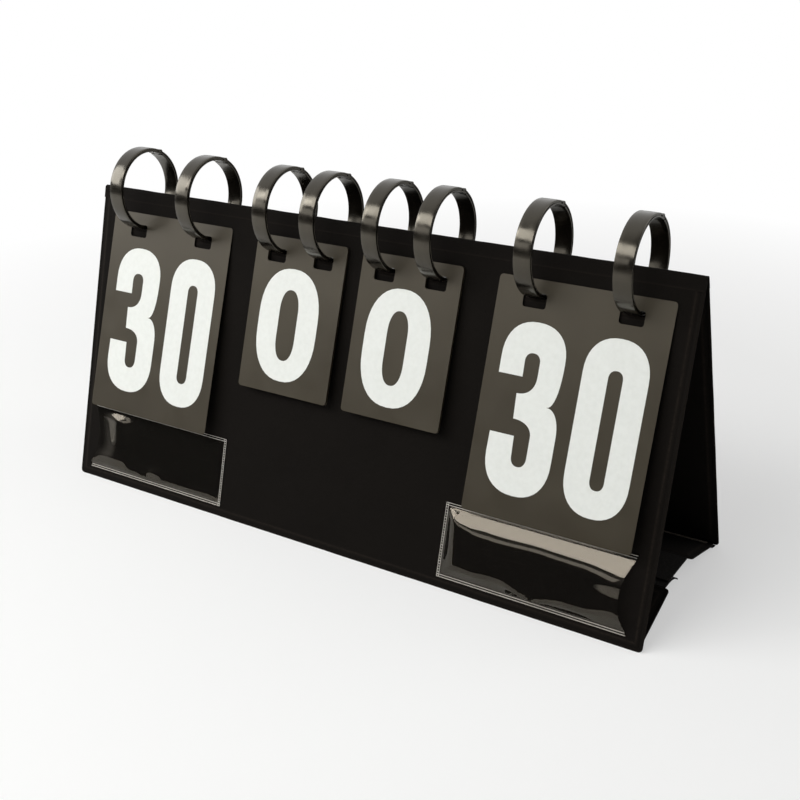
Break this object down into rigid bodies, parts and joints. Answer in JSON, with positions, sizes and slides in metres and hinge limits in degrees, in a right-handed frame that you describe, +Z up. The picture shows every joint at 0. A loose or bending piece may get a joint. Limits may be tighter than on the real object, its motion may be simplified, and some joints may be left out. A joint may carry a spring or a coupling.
{
  "type": "tabletop flip scoreboard",
  "caption": "Tabletop flip scoreboard: two fabric-covered boards in an A-frame with snap rings along the fold that carry number cards.",
  "frame": {"origin": "on the table plane under the fold line, at the middle of the boards' length", "axes": "+X along the boards' length, -Y towards the side that shows the score, +Z up"},
  "size_m": [0.42, 0.1242, 0.22],
  "materials": {
    "fabric": "matt woven, coated",
    "board": "matt grey board",
    "ring": "glossy moulded",
    "card": "matt sheet",
    "clear_sheet": "clear soft sheet",
    "hook_tape": "matt hook tape"
  },
  "bodies": {
    "front_panel": {"front_cover": "fabric", "front_board": "board", "fold_strip": "fabric", "front_base_hinge": "fabric", "left_pocket": "clear_sheet", "right_pocket": "clear_sheet", "ring_1_arc": "ring", "ring_2_arc": "ring", "ring_3_arc": "ring", "ring_4_arc": "ring", "ring_5_arc": "ring", "ring_6_arc": "ring", "ring_7_arc": "ring", "ring_8_arc": "ring"},
    "rear_panel": {"rear_cover": "fabric", "rear_board": "board", "rear_base_hinge": "fabric"},
    "front_base": {"front_base_cover": "fabric", "front_base_board": "board", "hook_tongue": "hook_tape"},
    "rear_base": {"rear_base_cover": "fabric", "rear_base_board": "board", "loop_tongue": "fabric"},
    "ring_1_gate_body": {"ring_1_gate": "ring"},
    "ring_2_gate_body": {"ring_2_gate": "ring"},
    "ring_3_gate_body": {"ring_3_gate": "ring"},
    "ring_4_gate_body": {"ring_4_gate": "ring"},
    "ring_5_gate_body": {"ring_5_gate": "ring"},
    "ring_6_gate_body": {"ring_6_gate": "ring"},
    "ring_7_gate_body": {"ring_7_gate": "ring"},
    "ring_8_gate_body": {"ring_8_gate": "ring"},
    "left_set_0": {"left_set_card_0": "card"},
    "left_set_1": {"left_set_card_1": "card"},
    "left_set_2": {"left_set_card_2": "card"},
    "left_set_3": {"left_set_card_3": "card"},
    "left_set_4": {"left_set_card_4": "card"},
    "left_set_5": {"left_set_card_5": "card"},
    "left_set_6": {"left_set_card_6": "card"},
    "left_set_7": {"left_set_card_7": "card"},
    "left_score_30": {"left_score_card_30": "card"},
    "left_score_0_to_9": {"left_score_pack_0_to_9": "card"},
    "left_score_10_to_19": {"left_score_pack_10_to_19": "card"},
    "left_score_20_to_29": {"left_score_pack_20_to_29": "card"},
    "right_set_0": {"right_set_card_0": "card"},
    "right_set_1": {"right_set_card_1": "card"},
    "right_set_2": {"right_set_card_2": "card"},
    "right_set_3": {"right_set_card_3": "card"},
    "right_set_4": {"right_set_card_4": "card"},
    "right_set_5": {"right_set_card_5": "card"},
    "right_set_6": {"right_set_card_6": "card"},
    "right_set_7": {"right_set_card_7": "card"},
    "right_score_30": {"right_score_card_30": "card"},
    "right_score_0_to_9": {"right_score_pack_0_to_9": "card"},
    "right_score_10_to_19": {"right_score_pack_10_to_19": "card"},
    "right_score_20_to_29": {"right_score_pack_20_to_29": "card"}
  },
  "joints": [
    {"name": "frame_fold", "type": "hinge", "parent": "front_panel", "child": "rear_panel", "pos_m": [0, 0, 0.19], "axis": [-1, 0, 0], "range_deg": [0, 30], "deforming": ["fold_strip"]},
    {"name": "front_base_fold", "type": "hinge", "parent": "front_panel", "child": "front_base", "pos_m": [0, -0.05991, 0.0022], "axis": [1, 0, 0], "range_deg": [0, 54], "deforming": ["hook_tongue"]},
    {"name": "rear_base_fold", "type": "hinge", "parent": "rear_panel", "child": "rear_base", "pos_m": [0, 0.05991, 0.0022], "axis": [-1, 0, 0], "range_deg": [0, 54], "deforming": ["loop_tongue"]},
    {"name": "ring_1_open", "type": "hinge", "parent": "front_panel", "child": "ring_1_gate_body", "pos_m": [-0.1745, 0.01372, 0.21516], "axis": [-1, 0, 0], "range_deg": [0, 90]},
    {"name": "ring_2_open", "type": "hinge", "parent": "front_panel", "child": "ring_2_gate_body", "pos_m": [-0.1184, 0.01372, 0.21516], "axis": [-1, 0, 0], "range_deg": [0, 90]},
    {"name": "ring_3_open", "type": "hinge", "parent": "front_panel", "child": "ring_3_gate_body", "pos_m": [-0.057, 0.01372, 0.21516], "axis": [-1, 0, 0], "range_deg": [0, 90]},
    {"name": "ring_4_open", "type": "hinge", "parent": "front_panel", "child": "ring_4_gate_body", "pos_m": [-0.022, 0.01372, 0.21516], "axis": [-1, 0, 0], "range_deg": [0, 90]},
    {"name": "ring_5_open", "type": "hinge", "parent": "front_panel", "child": "ring_5_gate_body", "pos_m": [0.022, 0.01372, 0.21516], "axis": [-1, 0, 0], "range_deg": [0, 90]},
    {"name": "ring_6_open", "type": "hinge", "parent": "front_panel", "child": "ring_6_gate_body", "pos_m": [0.057, 0.01372, 0.21516], "axis": [-1, 0, 0], "range_deg": [0, 90]},
    {"name": "ring_7_open", "type": "hinge", "parent": "front_panel", "child": "ring_7_gate_body", "pos_m": [0.1184, 0.01372, 0.21516], "axis": [-1, 0, 0], "range_deg": [0, 90]},
    {"name": "ring_8_open", "type": "hinge", "parent": "front_panel", "child": "ring_8_gate_body", "pos_m": [0.1745, 0.01372, 0.21516], "axis": [-1, 0, 0], "range_deg": [0, 90]},
    {"name": "left_set_0_turn", "type": "hinge", "parent": "left_set_1", "child": "left_set_0", "pos_m": [0, 0, 0.1932], "axis": [-1, 0, 0], "range_deg": [0, 310]},
    {"name": "left_set_1_turn", "type": "hinge", "parent": "front_panel", "child": "left_set_1", "pos_m": [0, 0, 0.1932], "axis": [1, 0, 0], "range_deg": [-310, 0]},
    {"name": "left_set_2_turn", "type": "hinge", "parent": "front_panel", "child": "left_set_2", "pos_m": [0, 0, 0.1932], "axis": [1, 0, 0], "range_deg": [-310, 0]},
    {"name": "left_set_3_turn", "type": "hinge", "parent": "front_panel", "child": "left_set_3", "pos_m": [0, 0, 0.1932], "axis": [1, 0, 0], "range_deg": [-310, 0]},
    {"name": "left_set_4_turn", "type": "hinge", "parent": "front_panel", "child": "left_set_4", "pos_m": [0, 0, 0.1932], "axis": [1, 0, 0], "range_deg": [-310, 0]},
    {"name": "left_set_5_turn", "type": "hinge", "parent": "front_panel", "child": "left_set_5", "pos_m": [0, 0, 0.1932], "axis": [1, 0, 0], "range_deg": [-310, 0]},
    {"name": "left_set_6_turn", "type": "hinge", "parent": "front_panel", "child": "left_set_6", "pos_m": [0, 0, 0.1932], "axis": [1, 0, 0], "range_deg": [-310, 0]},
    {"name": "left_set_7_turn", "type": "hinge", "parent": "front_panel", "child": "left_set_7", "pos_m": [0, 0, 0.1932], "axis": [1, 0, 0], "range_deg": [-310, 0]},
    {"name": "left_score_30_turn", "type": "hinge", "parent": "front_panel", "child": "left_score_30", "pos_m": [0, 0, 0.1932], "axis": [-1, 0, 0], "range_deg": [0, 293]},
    {"name": "left_score_0_to_9_turn", "type": "hinge", "parent": "rear_panel", "child": "left_score_0_to_9", "pos_m": [0, 0, 0.1932], "axis": [-1, 0, 0], "range_deg": [-293, 0]},
    {"name": "left_score_10_to_19_turn", "type": "hinge", "parent": "rear_panel", "child": "left_score_10_to_19", "pos_m": [0, 0, 0.1932], "axis": [-1, 0, 0], "range_deg": [-293, 0]},
    {"name": "left_score_20_to_29_turn", "type": "hinge", "parent": "rear_panel", "child": "left_score_20_to_29", "pos_m": [0, 0, 0.1932], "axis": [-1, 0, 0], "range_deg": [-293, 0]},
    {"name": "right_set_0_turn", "type": "hinge", "parent": "right_set_1", "child": "right_set_0", "pos_m": [0, 0, 0.1932], "axis": [-1, 0, 0], "range_deg": [0, 310]},
    {"name": "right_set_1_turn", "type": "hinge", "parent": "front_panel", "child": "right_set_1", "pos_m": [0, 0, 0.1932], "axis": [1, 0, 0], "range_deg": [-310, 0]},
    {"name": "right_set_2_turn", "type": "hinge", "parent": "front_panel", "child": "right_set_2", "pos_m": [0, 0, 0.1932], "axis": [1, 0, 0], "range_deg": [-310, 0]},
    {"name": "right_set_3_turn", "type": "hinge", "parent": "front_panel", "child": "right_set_3", "pos_m": [0, 0, 0.1932], "axis": [1, 0, 0], "range_deg": [-310, 0]},
    {"name": "right_set_4_turn", "type": "hinge", "parent": "front_panel", "child": "right_set_4", "pos_m": [0, 0, 0.1932], "axis": [1, 0, 0], "range_deg": [-310, 0]},
    {"name": "right_set_5_turn", "type": "hinge", "parent": "front_panel", "child": "right_set_5", "pos_m": [0, 0, 0.1932], "axis": [1, 0, 0], "range_deg": [-310, 0]},
    {"name": "right_set_6_turn", "type": "hinge", "parent": "front_panel", "child": "right_set_6", "pos_m": [0, 0, 0.1932], "axis": [1, 0, 0], "range_deg": [-310, 0]},
    {"name": "right_set_7_turn", "type": "hinge", "parent": "front_panel", "child": "right_set_7", "pos_m": [0, 0, 0.1932], "axis": [1, 0, 0], "range_deg": [-310, 0]},
    {"name": "right_score_30_turn", "type": "hinge", "parent": "front_panel", "child": "right_score_30", "pos_m": [0, 0, 0.1932], "axis": [-1, 0, 0], "range_deg": [0, 293]},
    {"name": "right_score_0_to_9_turn", "type": "hinge", "parent": "rear_panel", "child": "right_score_0_to_9", "pos_m": [0, 0, 0.1932], "axis": [-1, 0, 0], "range_deg": [-293, 0]},
    {"name": "right_score_10_to_19_turn", "type": "hinge", "parent": "rear_panel", "child": "right_score_10_to_19", "pos_m": [0, 0, 0.1932], "axis": [-1, 0, 0], "range_deg": [-293, 0]},
    {"name": "right_score_20_to_29_turn", "type": "hinge", "parent": "rear_panel", "child": "right_score_20_to_29", "pos_m": [0, 0, 0.1932], "axis": [-1, 0, 0], "range_deg": [-293, 0]}
  ],
  "couplings": [
    {"joint": "front_base_fold", "follows": "frame_fold", "ratio": 1.8},
    {"joint": "rear_base_fold", "follows": "frame_fold", "ratio": 1.8},
    {"joint": "left_set_2_turn", "follows": "left_set_1_turn", "ratio": 0.997},
    {"joint": "left_set_3_turn", "follows": "left_set_1_turn", "ratio": 0.994},
    {"joint": "left_set_4_turn", "follows": "left_set_1_turn", "ratio": 0.991},
    {"joint": "left_set_5_turn", "follows": "left_set_1_turn", "ratio": 0.988},
    {"joint": "left_set_6_turn", "follows": "left_set_1_turn", "ratio": 0.985},
    {"joint": "left_set_7_turn", "follows": "left_set_1_turn", "ratio": 0.982},
    {"joint": "left_score_0_to_9_turn", "follows": "left_score_20_to_29_turn", "ratio": 0.98},
    {"joint": "left_score_10_to_19_turn", "follows": "left_score_20_to_29_turn", "ratio": 0.99},
    {"joint": "right_set_2_turn", "follows": "right_set_1_turn", "ratio": 0.997},
    {"joint": "right_set_3_turn", "follows": "right_set_1_turn", "ratio": 0.994},
    {"joint": "right_set_4_turn", "follows": "right_set_1_turn", "ratio": 0.991},
    {"joint": "right_set_5_turn", "follows": "right_set_1_turn", "ratio": 0.988},
    {"joint": "right_set_6_turn", "follows": "right_set_1_turn", "ratio": 0.985},
    {"joint": "right_set_7_turn", "follows": "right_set_1_turn", "ratio": 0.982},
    {"joint": "right_score_0_to_9_turn", "follows": "right_score_20_to_29_turn", "ratio": 0.98},
    {"joint": "right_score_10_to_19_turn", "follows": "right_score_20_to_29_turn", "ratio": 0.99}
  ]
}
